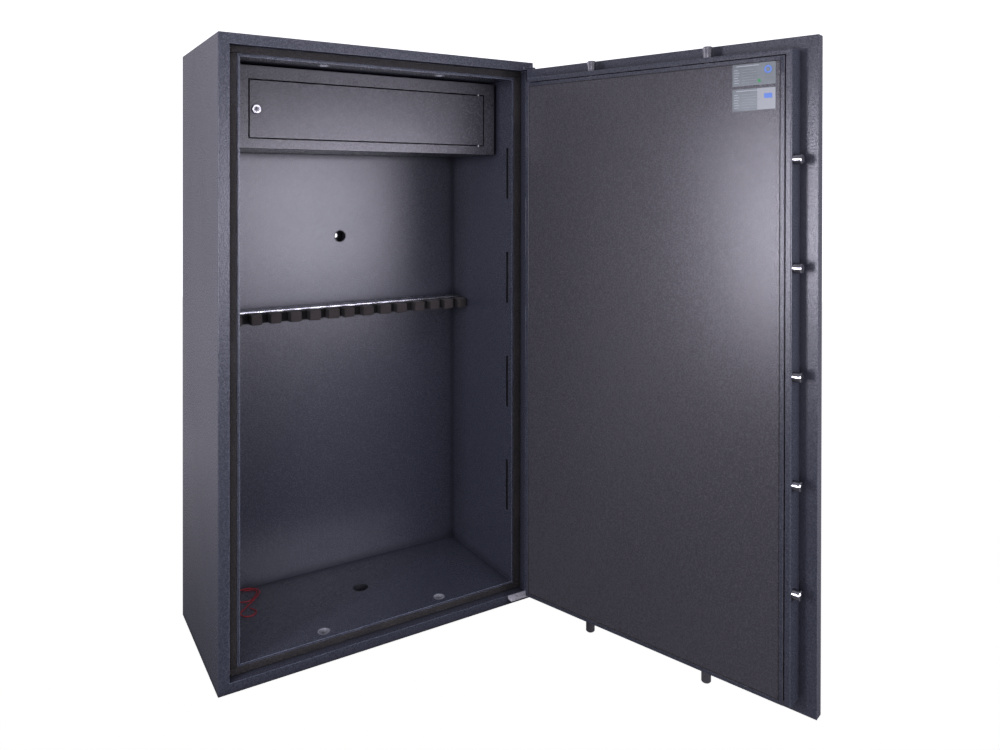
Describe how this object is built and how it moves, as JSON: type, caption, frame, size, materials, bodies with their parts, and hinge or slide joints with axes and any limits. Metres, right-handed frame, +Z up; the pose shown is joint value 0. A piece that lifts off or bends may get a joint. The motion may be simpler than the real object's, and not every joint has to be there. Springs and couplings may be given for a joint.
{
  "type": "gun safe",
  "caption": "Upright fire-lined gun safe with a flush hinged door, rack-and-pinion boltwork, a lockable inner locker and a foam rifle rack.",
  "frame": {"origin": "axis of the floor anchor hole on the body's underside", "axes": "+Z up; the door faces -Y; +X to the right when facing the door, which is hinged at +X"},
  "size_m": [1.0787, 1.2113, 1.5],
  "materials": {
    "body_paint": "textured anthracite powder coat",
    "door_paint": "textured anthracite powder coat",
    "fire_filling": "cast mineral filling, hidden",
    "seal": "matte black intumescent strip",
    "plain_steel": "plain machined",
    "zinc_steel": "zinc plated",
    "chrome": "polished",
    "polished_trim": "bright rolled strip",
    "foam": "closed-cell foam, matte",
    "red_cord": "thin insulated cord",
    "data_plate": "satin printed plate, blank fields",
    "brass": "machined"
  },
  "bodies": {
    "cabinet": {"outer_shell": "body_paint", "inner_shell": "body_paint", "fill_left": "fire_filling", "fill_right": "fire_filling", "fill_top": "fire_filling", "fill_bottom": "fire_filling", "fill_back": "fire_filling", "fire_seal": "seal", "bolt_bushes": "plain_steel", "floor_anchor_cup": "plain_steel", "back_anchor_cup": "plain_steel", "hinge_bracket_bottom": "zinc_steel", "hinge_bracket_top": "body_paint", "hinge_pin_bottom": "zinc_steel", "hinge_pin_top": "zinc_steel", "locker_body": "body_paint", "locker_screws": "zinc_steel", "rack_rail": "polished_trim", "rack_screws": "zinc_steel", "rack_foam": "foam", "red_cord": "red_cord"},
    "door": {"door_pan": "door_paint", "door_back_plate": "door_paint", "door_filling": "fire_filling", "hardplate": "plain_steel", "boltwork_casing": "door_paint", "inner_panel": "door_paint", "data_plates": "data_plate", "hinge_dogs": "plain_steel", "hinge_leaf_bottom": "door_paint", "hinge_leaf_top": "door_paint", "bolt_guides": "plain_steel", "spindle_bush": "brass", "handle_rose": "chrome", "lock_case": "plain_steel", "keyhole_escutcheon": "chrome"},
    "side_boltwork": {"side_bolt_bar": "zinc_steel", "side_bolts": "chrome"},
    "top_boltwork": {"top_bolt_bar": "zinc_steel", "top_bolts": "chrome"},
    "bottom_boltwork": {"bottom_bolt_bar": "zinc_steel", "bottom_bolts": "chrome"},
    "handle": {"handle_lever": "chrome", "handle_spindle": "plain_steel", "pinion": "plain_steel"},
    "main_lock_bolt": {"lock_bolt": "brass"},
    "main_key_plug": {"key_plug": "plain_steel"},
    "locker_leaf": {"locker_door": "body_paint", "locker_hinge_pins": "zinc_steel", "locker_lock_barrel": "chrome"},
    "locker_lock": {"locker_key_plug": "chrome", "locker_cam": "zinc_steel"}
  },
  "joints": [
    {"name": "door_hinge", "type": "hinge", "parent": "cabinet", "child": "door", "pos_m": [0.411, -0.223, 0.75], "axis": [0, 0, 1], "range_deg": [-107, 13]},
    {"name": "handle_turn", "type": "hinge", "parent": "door", "child": "handle", "pos_m": [0.60111, -0.80379, 0.752], "axis": [-0.9563, -0.2924, 0], "range_deg": [-90, 0]},
    {"name": "side_bolt_slide", "type": "slide", "parent": "door", "child": "side_boltwork", "axis": [0.2924, -0.9563, 0], "range_m": [-0.02199, 0]},
    {"name": "top_bolt_slide", "type": "slide", "parent": "door", "child": "top_boltwork", "axis": [0, 0, 1], "range_m": [-0.02199, 0]},
    {"name": "bottom_bolt_slide", "type": "slide", "parent": "door", "child": "bottom_boltwork", "axis": [0, 0, -1], "range_m": [-0.02199, 0]},
    {"name": "key_turn", "type": "hinge", "parent": "door", "child": "main_key_plug", "pos_m": [0.57234, -0.77808, 0.9], "axis": [-0.9563, -0.2924, 0], "range_deg": [0, 90]},
    {"name": "lock_bolt_slide", "type": "slide", "parent": "door", "child": "main_lock_bolt", "axis": [0.2924, -0.9563, 0], "range_m": [0, 0.01]},
    {"name": "locker_hinge", "type": "hinge", "parent": "cabinet", "child": "locker_leaf", "pos_m": [0.312, -0.1018, 1.34], "axis": [0, 0, 1], "range_deg": [0, 95]},
    {"name": "locker_key_turn", "type": "hinge", "parent": "locker_leaf", "child": "locker_lock", "pos_m": [-0.312, -0.1, 1.3395], "axis": [0, -1, 0], "range_deg": [0, 90]}
  ],
  "couplings": [
    {"joint": "side_bolt_slide", "follows": "handle_turn", "m_per_rad": 0.014},
    {"joint": "top_bolt_slide", "follows": "handle_turn", "m_per_rad": 0.014},
    {"joint": "bottom_bolt_slide", "follows": "handle_turn", "m_per_rad": 0.014},
    {"joint": "key_turn", "follows": "lock_bolt_slide", "rad_per_m": 157.07}
  ]
}
